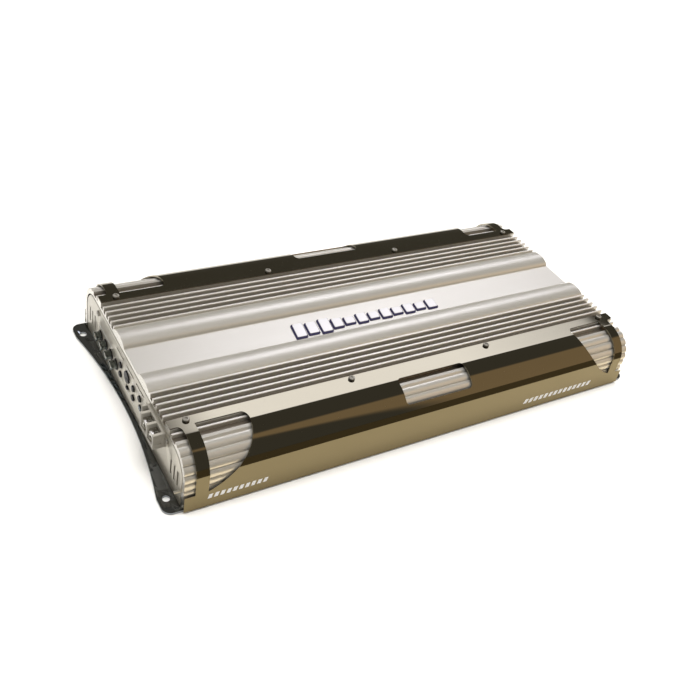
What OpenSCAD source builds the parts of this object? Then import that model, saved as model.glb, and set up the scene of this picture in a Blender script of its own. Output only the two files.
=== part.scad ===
// Car amplifier: finned heatsink case on an eared base plate, two mirror trim covers,
// control end on the left, speaker and fuse end on the right, circuit board inside.
// Origin at the bottom centre. X along the fins, Y across them, Z up.

/* [Case] */
// Length of the heatsink along the fins
body_l = 488; // [480:1:520]
// Height of the flat middle of the heatsink
flat_z = 54.2; // [54:0.1:55]
// Height of the fin tops
fin_top_z = 58.3; // [57.8:0.1:58.8]
// Height of the two rounded ridges
ridge_top_z = 60; // [59.5:0.1:61]
// Distance from one fin to the next
fin_pitch = 7; // [6.8:0.05:7.05]
// Fin thickness
fin_t = 2.4; // [1.4:0.1:2.4]

/* [Base plate] */
// Thickness of the base plate
base_t = 2; // [1.8:0.1:2]
// How far the ears reach past the case at each end
ear_reach = 14.5; // [12:0.5:18]
// Depth of the scoop between two ears
scoop_depth = 11; // [8:0.5:12]
// Radius of the mounting holes
ear_hole_r = 3.2; // [2.2:0.1:3.2]

/* [Trim covers] */
// Thickness of the cover sheet
trim_t = 1.3; // [1:0.1:1.5]
// Height of the flat band
trim_top_z = 59.2; // [59.2:0.1:60]
// Half length of the middle window
mid_window_half = 37; // [20:1:60]

/* [Controls] */
// Radius of the small control shafts
knob_r = 2.9; // [2:0.1:3.2]
// Radius of the large level knob
big_knob_r = 5.6; // [4.5:0.1:6]
// How far the controls stand out of the end panel
knob_proud = 1.2; // [0.5:0.1:3]
// Switch travel to each side of the middle
switch_travel = 2; // [1:0.5:2]

/* [Hidden] */

$fn = 48;
gap = 0.1;
half_l = body_l / 2;

// heatsink section
ridge_y = 30.5;
ridge_ry = 13;
ridge_outer_deg = 20;
lip_y = 44.5;
fin_chamfer = 0.4;
fin_count = 4;
groove_z = 53.3;
shelf_y0 = 78.8;
shelf_y1 = 88.5;
shelf_z = trim_top_z - trim_t;
side_fin_y = 91.6;
side_fin_z = 56.6;
side_rib_y0 = 99.4;
side_rib_y1 = 102.2;
side_rib_z = 55.8;
side_groove_z = 52.8;
side_cy = 97;
side_cz = 30;
side_r = 24.4;
flute_rise = 1.8;
flute_start_deg = 16;
arc_flutes = 4;
wall_flutes = 3;
flute_steps = 8;
wall_flute_pitch = 8;
ceiling_z = 50.6;
inner_ry = 22;
inner_y = side_cy + inner_ry;
boss_y = 85;
boss_z = 42.2;
boss_r = 4;
rail_half_l = half_l - 6;
rail_y0 = 112;
rail_z1 = 11.5;
pad_y0 = 115;
pad_z0 = 14;
pad_z1 = 36;

// trim covers
trim_cy = 96;
trim_cz = 30.2;
trim_r = trim_top_z - trim_cz;
trim_band_y0 = 79;
crease_deg = 78;
flange_y = 125.8;
window_top_u = 20.4;
notch_x = half_l - 9;
strip_x = half_l - 20;
d_window_x = half_l - 64;
trim_screw_x = [-229, -76, 76, 229];
trim_screw_y = 83;
trim_screw_r = 1.6;

// fasteners
panel_screw_r = 1.4;
base_screw_r = 1.4;
base_screw_x = [-225, -75, 75, 225];
base_screw_y = 115.5;
flange_screw_x = half_l - 8;
flange_screw_y = 60;
screw_head_r = 3.4;

// end panels
panel_t = 2;
panel_x = half_l - panel_t;
panel_gap = 1.2;
panel_chamfer = 0.4;
vent_y = [95, 102, 109];
top_slot_y = [26, 1.7, -22.6, -46.9];
pot_gap = 0.45;

// controls: place on the panel as [y, z]
upper_z = 31;
lower_z = 20.5;
knob_place = [[24, upper_z], [24, lower_z], [7.5, upper_z], [-8, upper_z], [-8, lower_z],
    [-23.4, upper_z + 2]];
big_knob = 2;
stub_r = 1.5;
stub_fit = 0.05;
control_board_x = -half_l + 12;
control_board_t = 1.6;
switch_y = 5.5;
switch_z = lower_z;
slider_w = 3;
slider_h = 2.6;
led_place = [-25.5, 24.5];
led_r = 1.5;
bezel_r = 3;
rca_y = [78, 64, 50, 36];
rca_z = 22;
barrel_r = 4.15;
barrel_wall = 0.5;
barrel_proud = 6;
barrel_seat = 0.8;
barrel_step = 0.2;
collar_r = 5.2;
pin_hole_r = 1.65;

// power terminals
power_wall_y = [-45, -52.3, -65.7, -79];
power_z0 = 31.5;
power_z1 = 46.7;
power_proud = 10;
power_wall_t = 2.6;
rem_wall_t = 1.6;
power_y0 = power_wall_y[3] - power_wall_t / 2;
power_y1 = power_wall_y[0] + rem_wall_t / 2;
power_hole_r = 2.8;
power_screw_r = 1.75;
power_hole_z = 36.5;
rem_proud = 6.5;
bar_w = 8;
bar_t = 1.5;
bar_z = 40;

// speaker terminals and fuses on the right end
speaker_count = 8;
speaker_pitch = 9;
speaker_z0 = 17;
speaker_z1 = 31;
speaker_proud = 7;
speaker_y0 = -42;
fuse_y = [52, 64, 76];
fuse_z = 25;

// emblem on the middle flat
level_x0 = -92;
level_w = 10;
level_pitch = 13.8;
level_heights = [18, 15, 18, 12, 9, 12, 9, 12, 9, 12, 9, 12];
shadow_x = 1.6;
shadow_y = 1.8;
shadow_grow = 0.75;

// main board
board_z = 12;
board_t = 1.6;
board_top = board_z + board_t;
board_half_y = 116;
board_half_x = 239;
standoff_place = [for (x = [-210, 0, 210]) for (y = [-70, 70]) [x, y]];
toroid_place = [[-150, -35], [-150, 35]];
choke_place = [[95, -78], [95, -38], [95, 38], [95, 78]];
cap_place = [for (x = [-60, -32, -4, 24]) for (y = [-52, -24, 24, 52]) [x, y]];
transistor_x = [for (i = [0:11]) -198 + 36 * i];
clamp_screw_x = [-216, -108, 0, 108, 216];
clamp_half_l = 221;

function half_ring(list) = [for (i = [len(list) - 1:-1:0]) [-list[i][0], list[i][1]]];

function fin(y, z, foot_in, foot_out) = [
    [y - fin_t / 2, foot_in], [y - fin_t / 2, z - fin_chamfer], [y - fin_t / 2 + fin_chamfer, z],
    [y + fin_t / 2 - fin_chamfer, z], [y + fin_t / 2, z - fin_chamfer], [y + fin_t / 2, foot_out]];

function ridge_arc() = [for (i = [0:14]) let (a = 180 - i * (180 - ridge_outer_deg) / 14)
    [ridge_y + ridge_ry * cos(a), flat_z + (ridge_top_z - flat_z) * sin(a)]];

function flute_rise_at(u) = flute_rise * sqrt(1 - pow(2 * (u - floor(u)) - 1, 2));

function arc_flute_points() = [for (i = [0:arc_flutes * flute_steps])
    let (u = i / flute_steps, a = flute_start_deg + (90 - flute_start_deg) * u / arc_flutes,
        r = side_r + flute_rise_at(u))
    [side_cy + r * sin(a), side_cz + r * cos(a)]];

function wall_flute_points() = [for (i = [1:wall_flutes * flute_steps]) let (u = i / flute_steps)
    [side_cy + side_r + flute_rise_at(u), side_cz - wall_flute_pitch * u]];

function heatsink_outside() = concat(
    ridge_arc(),
    fin(lip_y, fin_top_z, flat_z + 1.9, groove_z),
    [for (k = [1:fin_count]) each fin(lip_y + k * fin_pitch, fin_top_z, groove_z, groove_z)],
    [[shelf_y0, groove_z], [shelf_y0, shelf_z], [shelf_y1, shelf_z], [shelf_y1, groove_z]],
    fin(side_fin_y, side_fin_z, groove_z, side_groove_z),
    [[side_rib_y0, side_groove_z], [side_rib_y0, side_rib_z], [side_rib_y1, side_rib_z - 0.4]],
    arc_flute_points(),
    wall_flute_points(),
    [[side_cy + side_r, base_t]]);

function heatsink_inside(shrink) = concat(
    [for (i = [0:12]) let (a = i * 7.5)
        [side_cy + (inner_ry - shrink) * sin(a), side_cz + (ceiling_z - shrink - side_cz) * cos(a)]],
    [[inner_y - shrink, base_t]]);

module along_x(x0, x1) {
    translate([x0, 0, 0]) rotate([90, 0, 90]) linear_extrude(x1 - x0) children();
}

module both_ends() {
    children();
    mirror([1, 0, 0]) children();
}

module both_sides() {
    children();
    mirror([0, 1, 0]) children();
}

module heatsink_section() {
    outside = heatsink_outside();
    inside = heatsink_inside(0);
    polygon(concat(half_ring(outside), outside, [for (i = [len(inside) - 1:-1:0]) inside[i]],
        [for (p = inside) [-p[0], p[1]]]));
}

module hole_x(x0, x1, y, z, r) {
    translate([x0, y, z]) rotate([0, 90, 0]) cylinder(h = x1 - x0, r = r);
}

module heatsink() {
    color("gainsboro") difference() {
        union() {
            along_x(-half_l, half_l) heatsink_section();
            both_sides() {
                along_x(-panel_x + gap, panel_x - gap) translate([boss_y - 1.5, boss_z])
                    square([3, ceiling_z - boss_z + 1]);
                hole_x(-panel_x + gap, panel_x - gap, boss_y, boss_z, boss_r);
                along_x(-rail_half_l, rail_half_l) translate([rail_y0, base_t])
                    square([inner_y + 1 - rail_y0, rail_z1 - base_t]);
                along_x(-rail_half_l, rail_half_l) translate([pad_y0, pad_z0])
                    square([inner_y + 1 - pad_y0, pad_z1 - pad_z0]);
            }
        }
        both_ends() both_sides() hole_x(panel_x - 14, half_l, boss_y, boss_z, panel_screw_r);
        for (x = trim_screw_x) both_sides() translate([x, trim_screw_y, shelf_z - 6.5])
            cylinder(h = 7, r = trim_screw_r);
        for (x = base_screw_x) both_sides() translate([x, base_screw_y, 0])
            cylinder(h = 10, r = base_screw_r);
        for (x = clamp_screw_x) both_sides() translate([x, 118.4, 25]) rotate([90, 0, 0])
            cylinder(h = 8, r = 1.2);
    }
}

module base_outline() {
    tip = half_l + ear_reach;
    edge_y = 123.2;
    scoop_half = 105;
    scoop_r = (pow(scoop_half, 2) + pow(scoop_depth, 2)) / (2 * scoop_depth);
    corner_r = 8;
    difference() {
        union() {
            square([2 * (tip - corner_r), 2 * edge_y], center = true);
            square([2 * tip, 2 * (edge_y - corner_r)], center = true);
            for (x = [-1, 1]) for (y = [-1, 1])
                translate([x * (tip - corner_r), y * (edge_y - corner_r)]) circle(corner_r);
        }
        for (x = [-1, 1]) translate([x * (tip - scoop_depth + scoop_r), 0]) circle(scoop_r, $fn = 180);
    }
}

module ear_place() {
    for (x = [-1, 1]) for (y = [-1, 1]) translate([x * (half_l + 7.4), y * 107.5, 0]) children();
}

module base_screw_place() {
    for (x = base_screw_x) for (y = [-1, 1]) translate([x, y * base_screw_y, 0]) children();
    for (x = [-1, 1]) for (y = [-1, 1]) translate([x * flange_screw_x, y * flange_screw_y, 0]) children();
}

module base_plate() {
    color([0.2, 0.21, 0.22]) difference() {
        linear_extrude(base_t) base_outline();
        ear_place() translate([0, 0, -1]) cylinder(h = base_t + 2, r = ear_hole_r);
        base_screw_place() {
            translate([0, 0, -0.01])
                cylinder(h = 1.31, r1 = screw_head_r + gap, r2 = base_screw_r + 2 * gap);
            cylinder(h = base_t + 1, r = base_screw_r + gap);
        }
    }
}

module panel_section() {
    inside = heatsink_inside(panel_gap);
    intersection() {
        polygon(concat(half_ring(inside), inside));
        translate([-200, base_t]) square([400, 100]);
    }
}

module panel_plate() {
    along_x(-half_l + panel_chamfer, -panel_x) panel_section();
    along_x(-half_l, -half_l + panel_chamfer) {
        inside = heatsink_inside(panel_gap + panel_chamfer);
        polygon(concat(half_ring(inside), inside));
    }
    translate([-panel_x - 1, -105, base_t]) cube([13, 210, 1.5]);
}

module panel_common_cuts() {
    both_sides() hole_x(-half_l - 1, -panel_x + 1, boss_y, boss_z, panel_screw_r + gap);
    both_sides() translate([-flange_screw_x, flange_screw_y, 0]) cylinder(h = 6, r = base_screw_r);
    both_sides() for (y = vent_y) translate([-half_l - 1, y - 1.2, 16]) cube([panel_t + 2, 2.4, 16]);
    for (y = top_slot_y) translate([-half_l - 1, y - 9, 41.2]) cube([panel_t + 2, 18, 1.8]);
}

module end_panel_left() {
    color([0.78, 0.78, 0.76]) difference() {
        union() {
            panel_plate();
            translate([-half_l - 5, -116.6, 16.2]) cube([6, 2.2, 1.2]);
        }
        panel_common_cuts();
        for (i = [0:len(knob_place) - 1]) let (r = i == big_knob ? big_knob_r : knob_r)
            hole_x(-half_l - 1, -panel_x + 1, knob_place[i][0], knob_place[i][1], r + pot_gap);
        translate([-half_l - 1, switch_y - 4.5, switch_z - 1.8]) cube([panel_t + 2, 9, 3.6]);
        hole_x(-half_l - 1, -panel_x + 1, led_place[0], led_place[1], bezel_r - 0.6);
        for (y = rca_y) hole_x(-half_l - 1, -panel_x + 1, y, rca_z, collar_r + gap);
        translate([-half_l - 1, power_y0, power_z0])
            cube([panel_t + 2, power_y1 - power_y0, power_z1 - power_z0]);
    }
}

module end_panel_right() {
    color([0.78, 0.78, 0.76]) mirror([1, 0, 0]) difference() {
        panel_plate();
        panel_common_cuts();
        translate([-half_l - 1, speaker_y0, speaker_z0])
            cube([panel_t + 2, speaker_count * speaker_pitch, speaker_z1 - speaker_z0]);
        for (y = fuse_y) translate([-half_l - 1, y - 4, fuse_z - 11]) cube([panel_t + 2, 8, 22]);
    }
}

// Outline of the trim sheet seen from the end, from the band edge to the foot.
function trim_path(inset) = concat(
    [[trim_band_y0, trim_top_z - inset]],
    [for (i = [0:12]) let (a = i * crease_deg / 12) [trim_cy + (trim_r - inset) * sin(a),
        trim_cz + (trim_r - inset) * cos(a)]],
    [[flange_y - inset, base_t]]);

// Shapes below are drawn in the plane square to the 45 degree direction: x along the case,
// u down the slope.
module slope_cut() {
    multmatrix([[1, 0, 0, 0], [0, -sqrt(0.5), -sqrt(0.5), 0], [0, -sqrt(0.5), sqrt(0.5), 0],
        [0, 0, 0, 1]])
        translate([0, 0, 95]) linear_extrude(30) children();
}

module rounded_box_2d(x0, x1, u0, u1, r) {
    translate([x0 + r, u0]) square([x1 - x0 - 2 * r, u1 - u0]);
    translate([x0, u0 + r]) square([x1 - x0, u1 - u0 - 2 * r]);
    for (x = [x0 + r, x1 - r]) for (u = [u0 + r, u1 - r]) translate([x, u]) circle(r);
}

module d_window_2d() {
    corner_r = 5;
    curve_r = 59.6;
    curve_cx = d_window_x + curve_r - 0.6;
    curve_cu = 17.7;
    intersection() {
        translate([curve_cx, curve_cu]) circle(curve_r, $fn = 96);
        union() {
            translate([d_window_x + corner_r, window_top_u])
                square([strip_x - d_window_x - corner_r, 80]);
            translate([d_window_x - 1, window_top_u + corner_r]) square([strip_x - d_window_x + 1, 80]);
            translate([d_window_x + corner_r, window_top_u + corner_r]) circle(corner_r);
        }
        translate([d_window_x - 1, window_top_u]) square([strip_x - d_window_x + 1, 80]);
    }
}

module trim_cover() {
    outer = trim_path(0);
    inner = trim_path(trim_t);
    difference() {
        rotate([0, 0, 180]) along_x(-half_l, half_l)
            polygon(concat(outer, [for (i = [len(inner) - 1:-1:0]) inner[i]]));
        slope_cut() rounded_box_2d(-mid_window_half, mid_window_half, 26, 50.4, 4);
        slope_cut() both_ends() d_window_2d();
        slope_cut() both_ends() {
            translate([notch_x + 4, window_top_u]) square([20, 55.6]);
            translate([notch_x, window_top_u + 4]) square([20, 51.6]);
            translate([notch_x + 4, window_top_u + 4]) circle(4);
        }
        for (x = trim_screw_x) translate([x, -trim_screw_y, trim_top_z - 5])
            cylinder(h = 10, r = trim_screw_r + 0.4);
    }
}

module trim_front() {
    color([0.3, 0.27, 0.23]) trim_cover();
}

module trim_rear() {
    color([0.3, 0.27, 0.23]) rotate([0, 0, 180]) trim_cover();
}

// Button-head screw standing on z = 0, shank down, with a hex socket.
module socket_screw(shank_r, shank_l, head_r, head_h, socket_r) {
    difference() {
        union() {
            translate([0, 0, -shank_l]) cylinder(h = shank_l + 0.2, r = shank_r);
            cylinder(h = head_h * 0.7, r = head_r);
            translate([0, 0, head_h * 0.7]) cylinder(h = head_h * 0.3, r1 = head_r, r2 = head_r * 0.74);
        }
        translate([0, 0, head_h * 0.35]) cylinder(h = head_h, r = socket_r, $fn = 6);
    }
}

module trim_screws() {
    color("dimgray") for (x = trim_screw_x) both_sides() translate([x, trim_screw_y, trim_top_z])
        socket_screw(trim_screw_r - 0.05, trim_t + 6, 2.9, 2.4, 1.5);
}

module panel_screws() {
    color("dimgray") both_ends() both_sides() translate([-half_l, boss_y, boss_z]) rotate([0, -90, 0])
        socket_screw(panel_screw_r - 0.05, 11, 2.7, 1.6, 1.1);
}

module base_screws() {
    color("dimgray") {
        for (x = base_screw_x) for (y = [-1, 1]) translate([x, y * base_screw_y, 0]) countersunk_screw(9);
        for (x = [-1, 1]) for (y = [-1, 1]) translate([x * flange_screw_x, y * flange_screw_y, 0])
            countersunk_screw(4.5);
    }
}

module countersunk_screw(length) {
    difference() {
        union() {
            cylinder(h = 1.3, r1 = screw_head_r, r2 = base_screw_r - 0.05);
            cylinder(h = length, r = base_screw_r - 0.05);
        }
        translate([0, 0, -0.1]) for (a = [0, 90]) rotate([0, 0, a]) translate([-1.6, -0.3, 0])
            cube([3.2, 0.6, 0.8]);
    }
}

// Corners of one slanted bar, from the lower left, grown by a margin.
function level_corners(i, grow) = let (
    h = level_heights[i], lean = 0.16 * h, x = level_x0 + i * level_pitch) [
    [x - grow, -4.5 - h / 2 - grow], [x + level_w + grow, -4.5 - h / 2 - grow],
    [x + level_w + lean + grow, -4.5 + h / 2 + grow], [x + lean - grow, -4.5 + h / 2 + grow]];

// A plain row of slanted level bars standing on the flat, each over a backing drawn out to the lower left.
module emblem_backing() {
    s = [-shadow_x, -shadow_y];
    color("navy") translate([0, 0, flat_z]) linear_extrude(0.5)
        for (i = [0:len(level_heights) - 1]) let (c = level_corners(i, shadow_grow))
            polygon([c[0] + s, c[1] + s, c[1], c[2], c[3], c[3] + s]);
}

module emblem_bars() {
    color("white") translate([0, 0, flat_z + 0.5]) linear_extrude(0.7)
        for (i = [0:len(level_heights) - 1]) polygon(level_corners(i, 0));
}

// Control shaft with a screwdriver slot across its face and a stub into its pot.
module knob(i) {
    r = i == big_knob ? big_knob_r : knob_r;
    color([0.15, 0.15, 0.15]) difference() {
        union() {
            hole_x(-half_l - knob_proud, -panel_x + 1.6, knob_place[i][0], knob_place[i][1], r);
            hole_x(-panel_x + 1.5, control_board_x - 1, knob_place[i][0], knob_place[i][1], stub_r);
        }
        translate([-half_l - knob_proud - 1, knob_place[i][0] - r - 1, knob_place[i][1] - 0.5])
            cube([1.9, r + 1.4, 1]);
    }
}

module knob_gain_front() {
    knob(0);
}

module knob_gain_rear() {
    knob(1);
}

module knob_level() {
    knob(2);
}

module knob_highpass() {
    knob(3);
}

module knob_lowpass() {
    knob(4);
}

module knob_bass() {
    knob(5);
}

module pot_bodies() {
    color([0.3, 0.3, 0.32]) difference() {
        for (p = knob_place) translate([-panel_x + 2, p[0] - 4.6, p[1] - 4.6])
            cube([control_board_x + panel_x - 2, 9.2, 9.2]);
        for (p = knob_place) hole_x(-panel_x, control_board_x - 0.6, p[0], p[1], stub_r + stub_fit);
    }
}

module switch_slider() {
    color("black") {
        translate([-half_l - 1.5, switch_y - slider_w / 2, switch_z - slider_h / 2])
            cube([7, slider_w, slider_h]);
        translate([-panel_x + 3.2, switch_y - 3, switch_z - 1.6]) cube([1.4, 6, 3.2]);
    }
}

module switch_body() {
    x0 = -panel_x + 2;
    color([0.6, 0.6, 0.62]) difference() {
        translate([x0, switch_y - 6.3, switch_z - 3.4]) cube([control_board_x - x0, 12.6, 6.8]);
        translate([x0 + 0.8, switch_y - 5.6, switch_z - 2]) cube([4.4, 11.2, 4]);
        translate([x0 - 1, switch_y - 3.9, switch_z - 1.7]) cube([2, 7.8, 3.4]);
    }
}

module control_board() {
    color([0.1, 0.35, 0.2]) translate([control_board_x, -34, board_top]) cube([control_board_t, 63, 26]);
}

module power_led() {
    color("lightblue") {
        hole_x(-half_l - 1.4, -panel_x + 3, led_place[0], led_place[1], led_r);
        hole_x(-panel_x + 3, control_board_x, led_place[0], led_place[1], led_r + 0.4);
    }
}

module led_bezel() {
    color("black") difference() {
        union() {
            hole_x(-half_l - 0.9, -half_l, led_place[0], led_place[1], bezel_r);
            hole_x(-half_l - 0.1, -panel_x + 1, led_place[0], led_place[1], bezel_r - 0.7);
        }
        hole_x(-half_l - 2, -panel_x + 2, led_place[0], led_place[1], led_r + gap);
    }
}

module rca_housing() {
    color([0.12, 0.12, 0.13]) difference() {
        union() {
            translate([-panel_x + 0.2, rca_y[3] - 6, board_top])
                cube([13, rca_y[0] - rca_y[3] + 12, rca_z + 7 - board_top]);
            for (y = rca_y) hole_x(-half_l - barrel_seat + gap, -panel_x + 0.3, y, rca_z, collar_r);
        }
        for (y = rca_y) hole_x(-half_l - 2, -panel_x + 8, y, rca_z, barrel_r - barrel_step);
    }
}

module rca_barrels() {
    color("silver") for (y = rca_y) difference() {
        union() {
            hole_x(-half_l - barrel_proud, -half_l - barrel_seat, y, rca_z, barrel_r);
            hole_x(-half_l - barrel_seat - gap, -panel_x + 8, y, rca_z, barrel_r - barrel_step);
        }
        hole_x(-half_l - barrel_proud - 1, -panel_x + 9, y, rca_z, barrel_r - barrel_wall);
    }
}

module rca_insulators() {
    color("white") for (y = rca_y) difference() {
        hole_x(-half_l - barrel_proud + 1, -panel_x + 8, y, rca_z, barrel_r - barrel_wall);
        hole_x(-half_l - barrel_proud, -panel_x + 7, y, rca_z, pin_hole_r + 0.3);
    }
}

module rca_contacts() {
    color("gold") for (y = rca_y) difference() {
        hole_x(-half_l - barrel_proud + 1.5, -panel_x + 7, y, rca_z, pin_hole_r + 0.3);
        hole_x(-half_l - barrel_proud, -panel_x + 5, y, rca_z, pin_hole_r);
    }
}

// Cells as [centre y, clamp width, clamp reach past the panel, clamp height].
function power_cells() = [
    [-72.35, 9.8, power_proud, 9.6], [-59, 9.8, power_proud, 9.6], [-48.4, 4.4, rem_proud, 9.5]];

// Barrier housing: two large cells and a shallow remote cell, each open to the front and top.
module power_block() {
    back_x = -panel_x + 6;
    height = power_z1 - power_z0;
    color([0.75, 0.75, 0.72]) difference() {
        union() {
            translate([-half_l - 2, power_y0, power_z0])
                cube([back_x + half_l + 2, power_y1 - power_y0, height]);
            for (i = [1:3]) translate([-half_l - power_proud, power_wall_y[i] - power_wall_t / 2,
                power_z0])
                cube([power_proud, power_wall_t, height]);
            translate([-half_l - rem_proud, power_y1 - rem_wall_t, power_z0])
                cube([rem_proud, rem_wall_t, height]);
            translate([-half_l - power_proud, power_y0, power_z0])
                cube([power_proud, power_wall_y[1] - power_y0, 1.6]);
            translate([-half_l - rem_proud, power_wall_y[1], power_z0])
                cube([rem_proud, power_y1 - power_wall_y[1], 1.6]);
        }
        for (c = power_cells()) translate([-half_l - c[2] + 1, c[0] - c[1] / 2 - gap, power_z0 + 1.6])
            cube([c[2] + 4, c[1] + 2 * gap, c[3] + 2 * gap]);
        for (c = power_cells()) if (c[1] > 8)
            translate([-half_l + 4, c[0] - bar_w / 2 - gap, bar_z - gap])
            cube([6, bar_w + 2 * gap, bar_t + 2 * gap]);
        translate([-half_l - power_proud + 1, power_y0 - 1, power_z0 + 4.6])
            cube([power_proud - 3.5, 1.7, 7.6]);
    }
}

module power_clamps() {
    color("gainsboro") for (c = power_cells()) let (big = c[1] > 8) difference() {
        translate([-half_l - c[2] + 1 + gap, c[0] - c[1] / 2, power_z0 + 1.6 + gap])
            cube([c[2] + 3.8, c[1], c[3]]);
        hole_x(-half_l - c[2], -half_l + 1.5, c[0], power_hole_z, big ? power_hole_r : 1.2);
        translate([-half_l - c[2] / 2 + 1, c[0], power_hole_z])
            cylinder(h = 20, r = (big ? power_screw_r : 1.1) + 0.05);
    }
}

module power_screws() {
    color("dimgray") for (c = power_cells()) let (r = c[1] > 8 ? power_screw_r : 1.1) difference() {
        translate([-half_l - c[2] / 2 + 1, c[0], power_hole_z + 3])
            cylinder(h = power_z0 + c[3] - power_hole_z - 2.4, r = r);
        translate([-half_l - c[2] / 2 + 1, c[0], power_z0 + c[3] - 1.2])
            cylinder(h = 4, r = r * 0.6, $fn = 6);
    }
}

module bus_bars() {
    x0 = -half_l + 4.9;
    x1 = -half_l + 20;
    color("peru") for (c = power_cells()) if (c[1] > 8) {
        translate([x0, c[0] - bar_w / 2, bar_z]) cube([x1 - x0, bar_w, bar_t]);
        translate([x1 - bar_t, c[0] - bar_w / 2, board_top])
            cube([bar_t, bar_w, bar_z - board_top + gap]);
    }
}

module speaker_block() {
    mirror([1, 0, 0]) color([0.12, 0.12, 0.13]) difference() {
        union() {
            translate([-half_l, speaker_y0, speaker_z0])
                cube([8, speaker_count * speaker_pitch, speaker_z1 - speaker_z0]);
            translate([-half_l - speaker_proud, speaker_y0, speaker_z0])
                cube([speaker_proud, speaker_count * speaker_pitch, 3]);
            for (i = [0:speaker_count])
                translate([-half_l - speaker_proud, speaker_y0 + i * (speaker_pitch - 0.15), speaker_z0])
                cube([speaker_proud, 1.2, speaker_z1 - speaker_z0]);
        }
        for (i = [0:speaker_count - 1]) translate([-half_l - 0.1, speaker_y(i) - 3.2, speaker_z0 + 3.2])
            cube([3.1, 6.4, 8]);
    }
}

function speaker_y(i) = speaker_y0 + 0.6 + (speaker_pitch - 0.15) * (i + 0.5);

module speaker_clamps() {
    mirror([1, 0, 0]) color("gainsboro") for (i = [0:speaker_count - 1]) difference() {
        translate([-half_l - 5, speaker_y(i) - 3.1, speaker_z0 + 3.3]) cube([7.8, 6.2, 7.6]);
        hole_x(-half_l - 6, -half_l + 1, speaker_y(i), speaker_z0 + 5.6, 1.6);
        translate([-half_l - 2.4, speaker_y(i), speaker_z0 + 6]) cylinder(h = 8, r = 1.6);
    }
}

module speaker_screws() {
    mirror([1, 0, 0]) color("dimgray") for (i = [0:speaker_count - 1]) difference() {
        translate([-half_l - 2.4, speaker_y(i), speaker_z0 + 7.8]) cylinder(h = 3.6, r = 1.5);
        translate([-half_l - 4.4, speaker_y(i) - 0.3, speaker_z0 + 10.6]) cube([4, 0.6, 2]);
    }
}

module fuse_holder() {
    mirror([1, 0, 0]) color([0.12, 0.12, 0.13]) difference() {
        union() {
            translate([-panel_x + 0.2, fuse_y[0] - 6, board_top])
                cube([14, fuse_y[2] - fuse_y[0] + 12, fuse_z + 12 - board_top]);
            for (y = fuse_y) translate([-half_l - 0.6, y - 3.9, fuse_z - 10.9])
                cube([panel_t + 1, 7.8, 21.8]);
        }
        for (y = fuse_y) for (s = [-1, 1]) translate([-half_l - 1, y - 0.5, fuse_z + s * 6 - 2.8])
            cube([14, 1, 5.6]);
    }
}

module fuse_bodies() {
    mirror([1, 0, 0]) color([0.2, 0.55, 0.3]) for (y = fuse_y) difference() {
        union() {
            translate([-half_l - 8.6, y - 2.6, fuse_z - 9.5]) cube([8, 5.2, 19]);
            translate([-half_l - 9.8, y - 2.1, fuse_z - 7.5]) cube([2, 4.2, 15]);
        }
        for (s = [-1, 1]) translate([-half_l - 6, y - 0.4, fuse_z + s * 6 - 2.6]) cube([6, 0.8, 5.2]);
    }
}

module fuse_blades() {
    mirror([1, 0, 0]) color("silver") for (y = fuse_y) for (s = [-1, 1])
        translate([-half_l - 6, y - 0.35, fuse_z + s * 6 - 2.5]) cube([17, 0.7, 5]);
}

module main_board() {
    color([0.1, 0.35, 0.2]) difference() {
        translate([-board_half_x, -board_half_y, board_z])
            cube([2 * board_half_x, 2 * board_half_y, board_t]);
        for (p = standoff_place) translate([p[0], p[1], board_z - 1]) cylinder(h = board_t + 2, r = 1.6);
    }
}

module standoffs() {
    color("gold") for (p = standoff_place) translate([p[0], p[1], base_t]) difference() {
        cylinder(h = board_z - base_t, r = 3.2, $fn = 6);
        translate([0, 0, 2]) cylinder(h = board_z, r = 1.35);
    }
}

module board_screws() {
    color("silver") for (p = standoff_place) translate([p[0], p[1], board_top])
        socket_screw(1.3, 6, 2.8, 1.8, 1.2);
}

module ring(r_in, r_out, h) {
    rotate_extrude($fn = 96) translate([r_in, 0]) square([r_out - r_in, h]);
}

module transformer_cores() {
    color("dimgray") for (p = toroid_place) translate([p[0], p[1], board_top + 2]) ring(13, 25, 20);
}

// Turns of square wire wrapped round a ring core.
module winding(turns, r_in, r_out, h, wire) {
    for (i = [0:turns - 1]) rotate([90, 0, i * 360 / turns]) translate([0, 0, -wire / 2])
        linear_extrude(wire) difference() {
        translate([r_in - wire, -wire]) square([r_out - r_in + 2 * wire, h + 2 * wire]);
        translate([r_in - gap, -gap]) square([r_out - r_in + 2 * gap, h + 2 * gap]);
    }
}

module transformer_windings() {
    color("peru") for (p = toroid_place) translate([p[0], p[1], board_top + 2])
        winding(30, 13, 25, 20, 1.6);
}

module choke_cores() {
    color("goldenrod") for (p = choke_place) translate([p[0], p[1], board_top + 1.5]) ring(6, 12, 11);
}

module choke_windings() {
    color("peru") for (p = choke_place) translate([p[0], p[1], board_top + 1.5])
        winding(20, 6, 12, 11, 1.2);
}

module capacitors() {
    color([0.15, 0.17, 0.25]) for (p = cap_place) translate([p[0], p[1], board_top])
        rotate_extrude() polygon([[0, 0], [10.5, 0], [11, 0.6], [11, 2.4], [10.2, 3], [10.2, 3.6],
            [11, 4.2], [11, 27.4], [10.4, 28], [0, 28]]);
}

module transistor_row() {
    for (x = transistor_x) translate([x - 8, pad_y0 - 5.4, board_top + 4]) difference() {
        union() {
            cube([16, 5, 20]);
            for (k = [1.9, 7.4, 12.9]) translate([k, 2, -4]) cube([1.2, 0.8, 4.5]);
        }
        translate([8, -0.1, 16.5]) rotate([-90, 0, 0]) cylinder(h = 1, r = 3);
    }
}

module transistors_front() {
    color("black") mirror([0, 1, 0]) transistor_row();
}

module transistors_rear() {
    color("black") transistor_row();
}

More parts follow.
